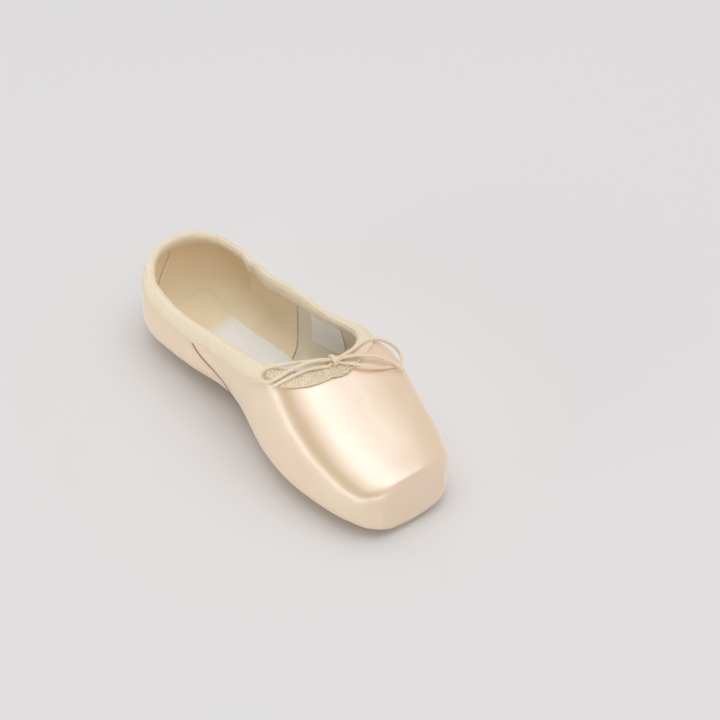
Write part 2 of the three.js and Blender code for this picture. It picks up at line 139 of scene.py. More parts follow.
def make_cord(name, path, radius, sides=10):
    """A round cord along a path. Its UV map runs in millimetres along it, and once round it."""
    tangents = [(b - a).normalized() for a, b in zip(path, path[1:])]
    tangents.append(tangents[-1])
    side = tangents[0].orthogonal().normalized()
    verts = []
    for point, tangent in zip(path, tangents):
        side = (side - tangent * side.dot(tangent)).normalized()
        up = tangent.cross(side)
        for j in range(sides):
            angle = 2 * math.pi * j / sides
            verts.append(point + radius * (math.cos(angle) * side + math.sin(angle) * up))
    faces = []
    for i in range(len(path) - 1):
        for j in range(sides):
            k = (j + 1) % sides
            faces.append((i * sides + j, i * sides + k, (i + 1) * sides + k, (i + 1) * sides + j))
    faces.append(tuple(reversed(range(sides))))
    faces.append(tuple(range((len(path) - 1) * sides, len(path) * sides)))
    mesh = bpy.data.meshes.new(name)
    mesh.from_pydata([v[:] for v in verts], [], faces)
    uv = mesh.uv_layers.new(name="along")
    lengths = [0.0]
    for a, b in zip(path, path[1:]):
        lengths.append(lengths[-1] + (b - a).length)
    for polygon in mesh.polygons:
        polygon.use_smooth = len(polygon.vertices) == 4
        turns = [v % sides for v in polygon.vertices]
        for loop, turn in zip(polygon.loop_indices, turns):
            vertex = mesh.loops[loop].vertex_index
            wrap = sides if turn == 0 and max(turns) == sides - 1 else turn
            uv.data[loop].uv = (lengths[vertex // sides] / MM, wrap / sides)
    piece = bpy.data.objects.new(name, mesh)
    bpy.context.collection.objects.link(piece)
    return piece


def new_material(name, colour, roughness):
    """A material, its node tree and its shader."""
    material = bpy.data.materials.new(name)
    material.use_nodes = True
    tree = material.node_tree
    shader = tree.nodes["Principled BSDF"]
    shader.inputs["Base Color"].default_value = (*colour, 1)
    shader.inputs["Roughness"].default_value = roughness
    return material, tree, shader


def mix_colours(tree, mask, first, second):
    """Mixes two colours by a mask; each is three numbers or another node's output."""
    node = tree.nodes.new("ShaderNodeMix")
    node.data_type = "RGBA"
    tree.links.new(mask, node.inputs[0])
    for socket, colour in ((node.inputs[6], first), (node.inputs[7], second)):
        if isinstance(colour, tuple):
            socket.default_value = (*colour, 1)
        else:
            tree.links.new(colour, socket)
    return node.outputs[2]


def bump(tree, height, distance, strength=1.0, under=None):
    """A Bump node's normal for a height; another bump's normal may lie under it."""
    node = tree.nodes.new("ShaderNodeBump")
    node.inputs["Distance"].default_value = distance
    node.inputs["Strength"].default_value = strength
    tree.links.new(height, node.inputs["Height"])
    if under is not None:
        tree.links.new(under, node.inputs["Normal"])
    return node.outputs[0]


cord_cotton, tree, shader = new_material("cord_cotton", (0.9, 0.74, 0.55), 0.75)
shader.inputs["Sheen Weight"].default_value = 0.3
along_cord = tree.nodes.new("ShaderNodeUVMap")
along_cord.uv_map = "along"
braid_size = tree.nodes.new("ShaderNodeMapping")
braid_size.inputs["Scale"].default_value = (1.1, 4, 1)
braid = tree.nodes.new("ShaderNodeTexWave")
braid.bands_direction = "DIAGONAL"
braid.inputs["Scale"].default_value = 1.0
braid.inputs["Distortion"].default_value = 1.2
tree.links.new(along_cord.outputs[0], braid_size.inputs["Vector"])
tree.links.new(braid_size.outputs[0], braid.inputs["Vector"])
strands = braid.outputs["Fac"]
cotton = mix_colours(tree, strands, (0.86, 0.64, 0.43), (0.97, 0.85, 0.67))
tree.links.new(cotton, shader.inputs["Base Color"])
tree.links.new(bump(tree, strands, 0.2 * MM, 0.5), shader.inputs["Normal"])

# The knot: the bow's strands run on through its middle, and one strand is wound tightly round them.
KNOT_STRANDS = [
    [(-4.4, -2.4, 0.3), (-2.2, -1.2, 0.3), (0, -0.5, 0.3), (2.2, 0, -0.1), (4.4, 0.2, -0.5)],
    [(-4.4, 1.4, -1.2), (-2.2, 0.9, -0.9), (0, 0.9, -0.6), (2.2, 1.6, 0.4), (4.4, 2.5, 1.1)],
    [(-4.4, -0.5, 2.3), (-2.2, -0.2, 1.5), (0, 0.3, 0.9), (2.2, 1.8, -0.9), (4.4, 3.5, -2.1)],
    [(0.4, -0.6, -1.5), (0.9, 1.2, -1.9), (1.1, 2.6, -0.9), (0.9, 2.9, 0.8), (0.3, 2.1, 2.3),
     (-0.2, 0.4, 3.1), (-0.6, -1.4, 2.4), (-0.9, -2.5, 0.7), (-0.9, -1.9, -1), (-0.7, 0, -2.1),
     (-0.6, 1.8, -1.7), (-0.7, 2.9, -0.3), (-0.9, 2.9, 1.2), (-0.9, 1.7, 2.7), (-0.5, 0, 3.3)],
]
knot_turns = []
for number, strand in enumerate(KNOT_STRANDS):
    strand_path, _ = smooth_route([from_knot(point) for point in strand], 0.4 * MM)
    knot_turns.append(make_cord("bow_knot_" + str(number), strand_path, STRAND_RADIUS))
    knot_turns[-1].select_set(True)
bpy.context.view_layer.objects.active = knot_turns[0]
bpy.ops.object.join()
knot = bpy.context.object
knot.name = "bow_knot"
knot.data.materials.append(cord_cotton)
knot.select_set(False)
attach(knot, "root")
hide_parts("drawstring_knot")

for node, route in BOW_ROUTES.items():
    path, length = smooth_route([from_knot(p) for p in route])
    piece = make_cord("bow_" + node.removeprefix("drawstring_"), path, CORD_DIAMETER / 2)
    piece.data.materials.append(cord_cotton)
    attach(piece, "root")
    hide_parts(node)


# ---- Outsole -----------------------------------------------------------------------------------------
# A thin piece of buffed leather, narrower than the shoe and narrowest at the waist. It is glued and
# stitched under the lasted upper, and its cut edge shows as a thin dark line.

def cad_copy(node, name, levels):
    """A welded copy of a CAD node's mesh, made quads again and subdivided."""
    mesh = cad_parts[node].data.copy()
    mesh.name = name
    piece = bpy.data.objects.new(name, mesh)
    bpy.context.collection.objects.link(piece)
    piece.data.materials.clear()
    bpy.context.view_layer.objects.active = piece
    piece.select_set(True)
    bpy.ops.object.mode_set(mode="EDIT")
    bpy.ops.mesh.select_all(action="SELECT")
    bpy.ops.mesh.remove_doubles(threshold=0.00002)
    bpy.ops.mesh.tris_convert_to_quads(face_threshold=math.radians(60), shape_threshold=math.radians(60))
    bpy.ops.object.mode_set(mode="OBJECT")
    subdivision = piece.modifiers.new("subdivision", "SUBSURF")
    subdivision.levels = subdivision.render_levels = levels
    bpy.ops.object.modifier_apply(modifier=subdivision.name)
    return piece


def finish_piece(piece, slot, *materials, node=None):
    """Gives a piece its materials, hangs it on the root body and hides the CAD node that it stands for, if
    any.
    """
    for material in materials:
        piece.data.materials.append(material)
    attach(piece, "root")
    if node:
        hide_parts(node)
    piece.select_set(False)


def points_of(piece):
    """A mesh's points as an array of rows."""
    flat = np.empty(len(piece.data.vertices) * 3)
    piece.data.vertices.foreach_get("co", flat)
    return flat.reshape(-1, 3)


def normals_of(piece):
    """The directions in which a mesh's points face."""
    flat = np.empty(len(piece.data.vertices) * 3)
    piece.data.vertices.foreach_get("normal", flat)
    return flat.reshape(-1, 3)


def set_points(piece, points):
    """Moves a mesh's points."""
    piece.data.vertices.foreach_set("co", points.ravel())
    piece.data.update()


def add_values(piece, name, values):
    """Stores one number for each point of a mesh, for its material to read."""
    layer = piece.data.attributes.new(name, "FLOAT", "POINT")
    layer.data.foreach_set("value", np.ascontiguousarray(values, dtype=np.float32))


def read_values(tree, name):
    """The output of a node that reads numbers stored on a mesh."""
    attribute = tree.nodes.new("ShaderNodeAttribute")
    attribute.attribute_name = name
    return attribute.outputs["Fac"]


def mathematics(tree, operation, *values):
    """The output of a Math node; each value is a number or another node's output."""
    node = tree.nodes.new("ShaderNodeMath")
    node.operation = operation
    for socket, value in zip(node.inputs, values):
        if isinstance(value, (int, float)):
            socket.default_value = value
        else:
            tree.links.new(value, socket)
    return node.outputs[0]


def times(tree, first, second):
    """The product of two values."""
    return mathematics(tree, "MULTIPLY", first, second)


def plus(tree, first, second):
    """The sum of two values."""
    return mathematics(tree, "ADD", first, second)


def minus(tree, first, second):
    """The first value less the second."""
    return mathematics(tree, "SUBTRACT", first, second)


def absolute(tree, value):
    """A value without its sign."""
    return mathematics(tree, "ABSOLUTE", value)


def fade(tree, value, start, end, low=0.0, high=1.0):
    """A smooth step of a value from low at start to high at end."""
    node = tree.nodes.new("ShaderNodeMapRange")
    node.interpolation_type = "SMOOTHSTEP"
    for name, number in (("From Min", start), ("From Max", end), ("To Min", low), ("To Max", high)):
        node.inputs[name].default_value = number
    tree.links.new(value, node.inputs["Value"])
    return node.outputs[0]


def noise(tree, scale, detail=3, stretch=(1, 1, 1), roughness=0.5):
    """Noise over a piece; the scale is in lumps to a metre, before it is stretched."""
    place = tree.nodes.new("ShaderNodeTexCoord")
    mapping = tree.nodes.new("ShaderNodeMapping")
    mapping.inputs["Scale"].default_value = stretch
    texture = tree.nodes.new("ShaderNodeTexNoise")
    texture.inputs["Scale"].default_value = scale
    texture.inputs["Detail"].default_value = detail
    texture.inputs["Roughness"].default_value = roughness
    tree.links.new(place.outputs["Object"], mapping.inputs["Vector"])
    tree.links.new(mapping.outputs[0], texture.inputs["Vector"])
    return texture.outputs["Fac"]


SOLE_GROOVE = 3.2  # mm from the sole's edge to the sewn groove
ROW_REACH = 2 * MM  # how far either way the sole's half width at a row is looked for
END_POINTS = 40  # on each of the outline's two straight end rows

outsole = cad_copy("outsole", "outsole_leather", 1)
sole_points = points_of(outsole)
sole_rows = np.unique(np.round(sole_points[:, 1], 4))
sole_half = np.array([
    np.abs(sole_points[np.abs(sole_points[:, 1] - row) < ROW_REACH, 0]).max() for row in sole_rows])

# The sole's outline: its two sides and its two straight ends. Each point's distance from it is kept.
outline = [np.stack([side * sole_half, sole_rows], 1) for side in (-1, 1)]
for end in (0, -1):
    end_widths = np.linspace(-1, 1, END_POINTS) * sole_half[end]
    outline.append(np.stack([end_widths, np.full(END_POINTS, sole_rows[end])], 1))
outline = np.concatenate(outline)
to_edge = np.array([np.hypot(*(outline - point[:2]).T).min() for point in sole_points])
add_values(outsole, "to_edge", to_edge / MM)

leather, tree, shader = new_material("buffed_leather", (0.3, 0.18, 0.1), 0.72)
nap = noise(tree, 900, 5, (1.6, 0.6, 1), 0.65)
patches = noise(tree, 45, 3)
edge = read_values(tree, "to_edge")
hide = mix_colours(tree, fade(tree, patches, 0.3, 0.7), (0.36, 0.22, 0.125), (0.50, 0.335, 0.2))
hide = mix_colours(tree, fade(tree, nap, 0.35, 0.75, 0, 0.45), hide, (0.25, 0.14, 0.075))
from_groove = absolute(tree, minus(tree, edge, SOLE_GROOVE))
groove = fade(tree, from_groove, 0.3, 1.0, 1, 0)
hide = mix_colours(tree, times(tree, groove, 0.6), hide, (0.12, 0.06, 0.03))
hide = mix_colours(tree, fade(tree, edge, 0.3, 1.2, 0.75, 0), hide, (0.13, 0.065, 0.035))
tree.links.new(hide, shader.inputs["Base Color"])
tree.links.new(fade(tree, nap, 0.3, 0.8, 0.62, 0.85), shader.inputs["Roughness"])
height = minus(tree, times(tree, nap, 0.25), groove)
tree.links.new(bump(tree, height, 0.4 * MM), shader.inputs["Normal"])

bpy.ops.object.shade_smooth_by_angle(angle=math.radians(40))
finish_piece(outsole, "sole_leather", leather, node="outsole")


# ---- Woven cloths ------------------------------------------------------------------------------------
# The threads of a plain weave, for the sock, both linings and the label. Its ribs run along the shoe,
# stacked one above another up a wall, and side by side across the sock.

weave = bpy.data.node_groups.new("plain_weave", "ShaderNodeTree")
weave.interface.new_socket("Ribs", in_out="INPUT", socket_type="NodeSocketFloat")
weave.interface.new_socket("Threads", in_out="INPUT", socket_type="NodeSocketFloat")
weave.interface.new_socket("Pitch", in_out="INPUT", socket_type="NodeSocketFloat")
weave.interface.new_socket("Height", in_out="OUTPUT", socket_type="NodeSocketFloat")
weave_in = weave.nodes.new("NodeGroupInput")
weave_out = weave.nodes.new("NodeGroupOutput")
uneven = noise(weave, 260, 3, (1, 0.4, 1.6))
wander = times(weave, minus(weave, uneven, 0.5), 5)
ribs = mathematics(weave, "DIVIDE", weave_in.outputs["Ribs"], weave_in.outputs["Pitch"])
ribs = plus(weave, times(weave, ribs, 2 * math.pi), wander)
ribs = times(weave, mathematics(weave, "SINE", ribs), 0.34)
threads = mathematics(weave, "DIVIDE", weave_in.outputs["Threads"], weave_in.outputs["Pitch"])
threads = mathematics(weave, "SINE", times(weave, threads, 4.4 * math.pi))
threads = times(weave, threads, 0.1)
fuzz = times(weave, minus(weave, noise(weave, 1500, 3), 0.5), 0.5)
woven = plus(weave, plus(weave, ribs, threads), fuzz)
weave.links.new(plus(weave, woven, 0.5), weave_out.inputs["Height"])


def plain_weave(tree, ribs, threads, pitch):
    """The height of a plain weave; ribs and threads are distances across them, in metres."""
    group = tree.nodes.new("ShaderNodeGroup")
    group.node_tree = weave
    tree.links.new(ribs, group.inputs["Ribs"])
    tree.links.new(threads, group.inputs["Threads"])
    group.inputs["Pitch"].default_value = pitch
    return group.outputs["Height"]


def place_axes(tree):
    """The three coordinates of a place on a piece, in metres."""
    place = tree.nodes.new("ShaderNodeTexCoord")
    split = tree.nodes.new("ShaderNodeSeparateXYZ")
    tree.links.new(place.outputs["Object"], split.inputs[0])
    return split.outputs


# ---- Insole ------------------------------------------------------------------------------------------
# The sock: pale cloth glued over the board and shank that stiffen the shoe. It is narrow at the heel and
# the waist, and the bare canvas round the heel comes over its back end.

CANVAS_END = (34, 46)  # mm from the back of the heel, where the canvas fades into the sock

sock, tree, shader = new_material("sock_cloth", (0.8, 0.79, 0.77), 0.8)
x, y, _ = place_axes(tree)
threads = plain_weave(tree, x, y, 0.7 * MM)
soil = noise(tree, 30, 4)
cloth = mix_colours(tree, fade(tree, soil, 0.35, 0.7), (0.95, 0.945, 0.935), (0.9, 0.89, 0.87))
canvas = fade(tree, y, HEEL_BACK - CANVAS_END[1] * MM, HEEL_BACK - CANVAS_END[0] * MM)
cloth = mix_colours(tree, canvas, cloth, (0.93, 0.81, 0.6))
cloth = mix_colours(tree, fade(tree, threads, 0.15, 0.75, 0.16, 0), cloth, (0.5, 0.48, 0.44))
tree.links.new(cloth, shader.inputs["Base Color"])
tree.links.new(bump(tree, threads, 0.12 * MM, 0.7), shader.inputs["Normal"])

insole = cad_copy("insole", "insole_sock", 1)
sock_points = points_of(insole)
sock_back = (HEEL_BACK - sock_points[:, 1]) / MM
growing = np.sin(np.clip((sock_back - 8) / 36, 0, 1) * math.pi / 2) ** 2
at_heel = 0.22 * np.clip((105 - sock_back) / 55, 0, 1) * growing
at_waist = 0.06 * np.exp(-((sock_back - 108) / 24) ** 2)
sock_points[:, 0] *= 1 - at_heel - at_waist
set_points(insole, sock_points)
bpy.ops.object.shade_smooth_by_angle(angle=math.radians(40))
finish_piece(insole, "sock", sock, node="insole")


# ---- Upper -------------------------------------------------------------------------------------------
# Peach satin over a canvas lining, lasted round the sole and blocked hard round the toes. The satin is
# drawn tight over the box, and softer round the quarters, which bend in between heel and waist.

# Soft folds in the cloth: a place in millimetres (across, from the back of the heel, up), how far the
# fold reaches each way, and how far it moves the cloth there.
SOFT_FOLDS = [
    {"at": (37, 166, 56), "reach": (20, 20, 20), "move": (3, 0, 1.6)},  # right shoulder, fuller
    {"at": (35, 62, 32), "reach": (14, 13, 24), "move": (-4.6, 0, 0)},  # right quarter, bent in
    {"at": (33, 43, 34), "reach": (12, 3.6, 24), "move": (-2.4, 0, 0)},  # the ridge behind it
    {"at": (34, 33, 34), "reach": (14, 6, 26), "move": (1.3, 0, 0)},
    {"at": (-34, 60, 34), "reach": (12, 5, 14), "move": (0.7, 0, 0)},  # left quarter, beside the seam
    {"at": (-33, 84, 44), "reach": (12, 6, 9), "move": (1, 0, 0)},
    {"at": (-33, 98, 42), "reach": (12, 5, 12), "move": (-0.5, 0, 0)},
    {"at": (-34, 112, 46), "reach": (12, 5, 14), "move": (0.7, 0, 0)},
    {"at": (33, 86, 44), "reach": (12, 6, 10), "move": (-0.9, 0, 0)},
    {"at": (33, 108, 44), "reach": (12, 6, 12), "move": (-0.7, 0, 0)},
    {"at": (-34, 104, 18), "reach": (16, 24, 20), "move": (3.6, 0, 0.6)},  # the waist, left and right
    {"at": (34, 104, 18), "reach": (16, 24, 20), "move": (-3, 0, 0.6)},
    {"at": (31, 88, 60), "reach": (14, 26, 16), "move": (1.5, 0, 2.6)},  # far rim, a little higher
]


def bend_cloth(points):
    """Moves points in metres by every soft fold."""
    moved = points.copy()
    for fold in SOFT_FOLDS:
        across, back, up = fold["at"]
        centre = np.array([across * MM, HEEL_BACK - back * MM, up * MM])
        away = (points - centre) / (np.array(fold["reach"]) * MM)
        share = np.exp(-(away ** 2).sum(axis=1))
        dx, dt, dz = fold["move"]
        moved += share[:, None] * np.array([dx, -dt, dz]) * MM
    return moved


# The line through the middle of the foot, in mm: its ends, from the back of the heel, and its height.
HEEL_MIDDLE = 34
TOE_MIDDLE = 150
FOOT_MIDDLE_UP = 24


def inwards(points, normals):
    """Which points are on the inside of the shell, from the way that they face."""
    middle = np.clip(points[:, 1], HEEL_BACK - TOE_MIDDLE * MM, HEEL_BACK - HEEL_MIDDLE * MM)
    axis = np.stack([np.zeros(len(points)), middle, np.full(len(points), FOOT_MIDDLE_UP * MM)], 1)
    return ((points - axis) * normals).sum(axis=1) < 0


# The box's hard tip: where it starts, how far its edges are drawn out, and the way that each flat face
# looks, with how deep it is planed. All are in mm.
TIP_START = 221
TIP_EDGE = 1.7
TIP_FACES = [((-0.62, -0.78, 0), 1.3), ((0.62, -0.78, 0), 1.3), ((0, -1, 0), 0.9)]


def block_the_toe(points, normals):
    """Draws the toe's edges out and planes its flat faces: a facet at each side, and the platform."""
    ahead = np.clip(((HEEL_BACK - points[:, 1]) / MM - TIP_START) / 7, 0, 1)
    forward = np.clip(-normals[:, 1], 0, 1)
    turning = (2 * forward * np.sqrt(np.clip(1 - forward ** 2, 0, 1))) ** 2
    moved = points + normals * (TIP_EDGE * MM * turning * ahead)[:, None]
    for face, depth in TIP_FACES:
        reach = moved @ np.array(face)
        over = np.clip(reach - (reach.max() - depth * MM), 0, None)
        moved -= over[:, None] * np.array(face)
    return moved


def distance_from_line(places, line):
    """The distance of places from a line in the same two measures: positive on its left side."""
    line = np.array(line, dtype=float)
    best = np.full(len(places), 1e9)
    signed = np.zeros(len(places))
    for start, end in zip(line, line[1:]):
        step = end - start
        share = np.clip(((places - start) @ step) / (step @ step), 0, 1)
        away = places - (start + share[:, None] * step)
        gap = np.hypot(away[:, 0], away[:, 1])
        sign = np.sign(step[0] * away[:, 1] - step[1] * away[:, 0])
        nearer = gap < best
        signed = np.where(nearer, gap * sign, signed)
        best = np.where(nearer, gap, best)
    return signed


upper = cad_copy("upper", "upper_satin", 2)
upper_inside = inwards(points_of(upper), normals_of(upper))
toe_blocked = block_the_toe(points_of(upper), normals_of(upper))
toe_blocked[upper_inside] = points_of(upper)[upper_inside]
set_points(upper, bend_cloth(toe_blocked))
upper_points = points_of(upper)
upper_inside = inwards(upper_points, normals_of(upper))
from_heel = (HEEL_BACK - upper_points[:, 1]) / MM
across = upper_points[:, 0] / MM
height = upper_points[:, 2] / MM

# The side seam joins vamp and quarters, from the binding forwards and down to the sole. Inside, the
# two linings meet further forward, and the canvas has a seam up the back. All are (from heel, up),
# but the back seam, which is (across, up).
SIDE_SEAM = [(110, 3), (108, 12), (104, 19), (98, 24), (91, 27.5), (84, 30), (78.5, 32.5), (74.5, 35),
             (71, 38.5), (68.5, 43), (66.5, 50), (66, 56)]
LINING_SEAM = [(97, 2), (96, 12), (91.5, 20), (90, 30), (90, 44), (91, 60)]
BACK_SEAM = [(-14, 12), (-9.5, 29), (-5.5, 36), (-2, 43.5), (0, 56), (0, 62)]
side_places = np.stack([from_heel, height], 1)
add_values(upper, "from_side_seam", distance_from_line(side_places, SIDE_SEAM))
add_values(upper, "from_lining_seam", distance_from_line(side_places, LINING_SEAM))
add_values(upper, "from_back_seam", distance_from_line(np.stack([across, height], 1), BACK_SEAM))
add_values(upper, "up", height)
add_values(upper, "across", across)
add_values(upper, "from_heel", from_heel)

# How far up and round the wall a place is, for the canvas's ribs: an angle about a line along the foot,
# times the wall's mean distance from it.
RIB_AXIS_UP = 32
WALL_RADIUS = 31
plan = np.hypot(across, from_heel - np.clip(from_heel, HEEL_MIDDLE, 200))
add_values(upper, "girth", np.arctan2(height - RIB_AXIS_UP, plan) * WALL_RADIUS)

satin, tree, shader = new_material("peach_satin", (0.86, 0.63, 0.42), 0.32)
shader.inputs["IOR"].default_value = 3.3
shader.inputs["Sheen Weight"].default_value = 0.8
shader.inputs["Sheen Roughness"].default_value = 0.4
shader.inputs["Sheen Tint"].default_value = (1, 0.95, 0.88, 1)
warp = noise(tree, 2600, 2, (1, 0.05, 1))
slubs = noise(tree, 700, 2, (1, 0.03, 1))
tone = noise(tree, 22, 3)
cloth = mix_colours(tree, fade(tree, tone, 0.3, 0.7), (0.87, 0.635, 0.41), (0.845, 0.59, 0.37))
cloth = mix_colours(tree, fade(tree, warp, 0.3, 0.8, 0, 0.1), cloth, (0.96, 0.82, 0.65))
seam = read_values(tree, "from_side_seam")
off_middle = absolute(tree, read_values(tree, "across"))
at_side = fade(tree, off_middle, 14, 20)
crease = fade(tree, absolute(tree, seam), 0.35, 1.2, 1, 0)
crease = times(tree, crease, at_side)
back = fade(tree, off_middle, 0.2, 0.8, 1, 0)
back = times(tree, back, fade(tree, read_values(tree, "from_heel"), 14, 22, 1, 0))
cloth = mix_colours(tree, times(tree, crease, 0.9), cloth, (0.46, 0.15, 0.07))
cloth = mix_colours(tree, times(tree, back, 0.55), cloth, (0.5, 0.24, 0.13))
pucker = fade(tree, absolute(tree, minus(tree, seam, 3)), 0, 5, 1, 0)
drawn_in = minus(tree, noise(tree, 150, 2, (1, 1, 2.2)), 0.5)
pucker = times(tree, times(tree, pucker, drawn_in), 1.8)
welt = fade(tree, absolute(tree, minus(tree, seam, 1.6)), 0.2, 1.6, 1, 0)
welt = plus(tree, times(tree, welt, 0.6), pucker)
welt = times(tree, welt, at_side)
tree.links.new(cloth, shader.inputs["Base Color"])
tree.links.new(fade(tree, slubs, 0.3, 0.7, 0.29, 0.35), shader.inputs["Roughness"])
fold = minus(tree, minus(tree, welt, crease), back)
sewn = bump(tree, fold, 0.5 * MM)
soft = bump(tree, noise(tree, 55, 2, (1, 0.6, 1)), 0.9 * MM, 0.35, under=sewn)
warp_height = times(tree, warp, 0.4)
slub_height = times(tree, slubs, 0.6)
threads = plus(tree, warp_height, slub_height)
tree.links.new(bump(tree, threads, 0.08 * MM, 0.5, under=soft), shader.inputs["Normal"])

# The quarters are lined with ribbed tan canvas, and the vamp with a finer, greyer cloth sewn to it.
lining, tree, shader = new_material("lining_cloths", (0.88, 0.74, 0.52), 0.85)
shader.inputs["Sheen Weight"].default_value = 0.6
shader.inputs["Sheen Roughness"].default_value = 0.6
shader.inputs["Sheen Tint"].default_value = (1, 0.9, 0.72, 1)
_, y, _ = place_axes(tree)
girth = times(tree, read_values(tree, "girth"), MM)
up = read_values(tree, "up")
ribbed = plain_weave(tree, girth, y, 1.1 * MM)
plain = plain_weave(tree, girth, y, 0.7 * MM)
stain = noise(tree, 26, 4)
tan = mix_colours(tree, fade(tree, up, 8, 50), (1.0, 0.91, 0.73), (1.0, 0.82, 0.54))
tan = mix_colours(tree, fade(tree, stain, 0.35, 0.75, 0, 0.5), tan, (0.88, 0.69, 0.44))
rib_depth = fade(tree, up, 8, 26, 0.25, 1)
shown = times(tree, fade(tree, ribbed, 0.2, 0.65, 0.2, 0), rib_depth)
tan = mix_colours(tree, shown, tan, (0.42, 0.24, 0.1))
grey = mix_colours(tree, fade(tree, stain, 0.35, 0.65), (0.92, 0.85, 0.71), (0.82, 0.71, 0.53))
grey = mix_colours(tree, fade(tree, plain, 0.2, 0.6, 0.14, 0), grey, (0.4, 0.32, 0.2))
seam = read_values(tree, "from_lining_seam")
cloth = mix_colours(tree, fade(tree, seam, -0.3, 0.3), grey, tan)
line = fade(tree, absolute(tree, seam), 0.15, 0.6, 1, 0)
back = fade(tree, absolute(tree, read_values(tree, "from_back_seam")), 0.1, 0.5, 1, 0)
back = times(tree, back, fade(tree, read_values(tree, "from_heel"), 16, 24, 1, 0))
cloth = mix_colours(tree, times(tree, line, 0.5), cloth, (0.34, 0.24, 0.14))
cloth = mix_colours(tree, times(tree, back, 0.65), cloth, (0.42, 0.27, 0.13))
tree.links.new(cloth, shader.inputs["Base Color"])
overlap = fade(tree, seam, -0.6, 0.6, 1, 0)
overlap = minus(tree, overlap, plus(tree, line, back))
sewn = bump(tree, overlap, 0.5 * MM)
ribs = times(tree, ribbed, rib_depth)
tree.links.new(bump(tree, ribs, 0.2 * MM, 0.8, under=sewn), shader.inputs["Normal"])

bpy.ops.object.shade_smooth()
finish_piece(upper, "satin", satin, lining, node="upper")
for polygon in upper.data.polygons:
    if all(upper_inside[vertex] for vertex in polygon.vertices):
        polygon.material_index = 1


# ---- Collar binding ----------------------------------------------------------------------------------
# Cream twill tape folded over the collar's edge and sewn down along its lower edge, with the
# drawstring's casing in its fold. It puffs up along the top, and the drawstring gathers it in small
# pleats at the throat.

# The collar's track: half a circle round the heel, half a circle round the throat, and straight between.
THROAT_MIDDLE = 140  # mm from the back of the heel
TRACK_RADIUS = 30  # mm

binding = cad_copy("collar_binding", "binding_tape", 3)
set_points(binding, bend_cloth(points_of(binding)))


def round_the_rim(points):
    """How far points are round the collar, from the back of the heel: a distance on a simple track."""
    heel, throat = HEEL_BACK - HEEL_MIDDLE * MM, HEEL_BACK - THROAT_MIDDLE * MM
    radius = TRACK_RADIUS * MM
    middle = np.clip(points[:, 1], throat, heel)
    turned = np.arctan2(np.abs(points[:, 0]), points[:, 1] - middle) * radius
    along = np.where(points[:, 1] > heel, turned, math.pi / 2 * radius + (heel - middle))
    along = np.where(points[:, 1] < throat, turned + heel - throat, along)
    return np.where(points[:, 0] < 0, -along, along) / MM


def rim_line(piece, count=360):
    """The binding's top all the way round: points, the length up to each, and the step after it."""
    points = points_of(piece)
    track = round_the_rim(points)
    half = math.pi * TRACK_RADIUS + (THROAT_MIDDLE - HEEL_MIDDLE)
    edges = np.linspace(-half, half, count + 1)
    line = []
    for low, high in zip(edges, edges[1:]):
        here = points[(track >= low) & (track < high)]
        if len(here):
            line.append(here[here[:, 2].argmax()])
    line = np.array(line)
    for _ in range(4):
        line = (np.roll(line, 1, 0) + 2 * line + np.roll(line, -1, 0)) / 4
    steps = np.linalg.norm(np.roll(line, -1, 0) - line, axis=1)
    return line, np.concatenate([[0], np.cumsum(steps)[:-1]]), steps


rim, rim_lengths, rim_steps = rim_line(binding)


def measure_from_rim(points, batch=4000):
    """How far round the rim each point is, how far down from it, in mm, and the rim's point above it."""
    along = np.empty(len(points))
    down = np.empty(len(points))
    above = np.empty((len(points), 3))
    nexts = np.roll(rim, -1, 0)
    for start in range(0, len(points), batch):
        part = points[start:start + batch]
        nearest = ((part[:, None, :2] - rim[None, :, :2]) ** 2).sum(axis=2).argmin(axis=1)
        best = np.full(len(part), 1e9)
        place = np.zeros(len(part))
        spot = np.zeros((len(part), 3))
        for shift in (-1, 0):
            k = (nearest + shift) % len(rim)
            edge = nexts[k] - rim[k]
            share = np.clip(((part - rim[k]) * edge).sum(axis=1) / (edge ** 2).sum(axis=1), 0, 1)
            foot = rim[k] + share[:, None] * edge
            gap = np.linalg.norm(part - foot, axis=1)
            better = gap < best
            spot = np.where(better[:, None], foot, spot)
            best = np.where(better, gap, best)
            place = np.where(better, rim_lengths[k] + share * rim_steps[k], place)
        along[start:start + batch] = place / MM
        down[start:start + batch] = best / MM
        above[start:start + batch] = spot
    return along, down, above


tape_points = points_of(binding)
tape_normals = normals_of(binding)
tape_along, tape_down, tape_above = measure_from_rim(tape_points)
tape_inside = inwards(tape_points, tape_normals)
tape_back = (HEEL_BACK - tape_points[:, 1]) / MM
tape_across = tape_points[:, 0] / MM

# The tape is narrower to the left of the bow, so its lower part is slid up over the satin there.
TAPE_LIFT = 1.6 * MM  # the most that the slid part stands off the satin
upper_skin = BVHTree.FromPolygons(
    [vertex.co[:] for vertex in upper.data.vertices],
    [polygon.vertices[:] for polygon in upper.data.polygons])
left_of_bow = np.clip((tape_back - 134) / 14, 0, 1) * np.clip((2 - tape_across) / 10, 0, 1)
slide = 0.3 * left_of_bow * np.clip((tape_down - 3) / 2, 0, 1)
for i in np.nonzero(slide > 0.001)[0]:
    point = Vector(tape_points[i])
    _, _, nearest, height_over = upper_skin.find_nearest(point)
    if upper.data.polygons[nearest].material_index == 1:
        slide[i] = 0
        continue
    moved = point.lerp(Vector(tape_above[i]), slide[i])
    spot, facing, _, _ = upper_skin.find_nearest(moved)
    tape_points[i] = spot + facing * min(height_over, TAPE_LIFT)
tape_down = tape_down * (1 - slide)
tape_across = tape_points[:, 0] / MM
gather = np.clip((tape_back - 132) / 16, 0, 1) * np.clip((24 - tape_across) / 16, 0.35, 1)
gather *= np.where(tape_inside, 0.4, 1)

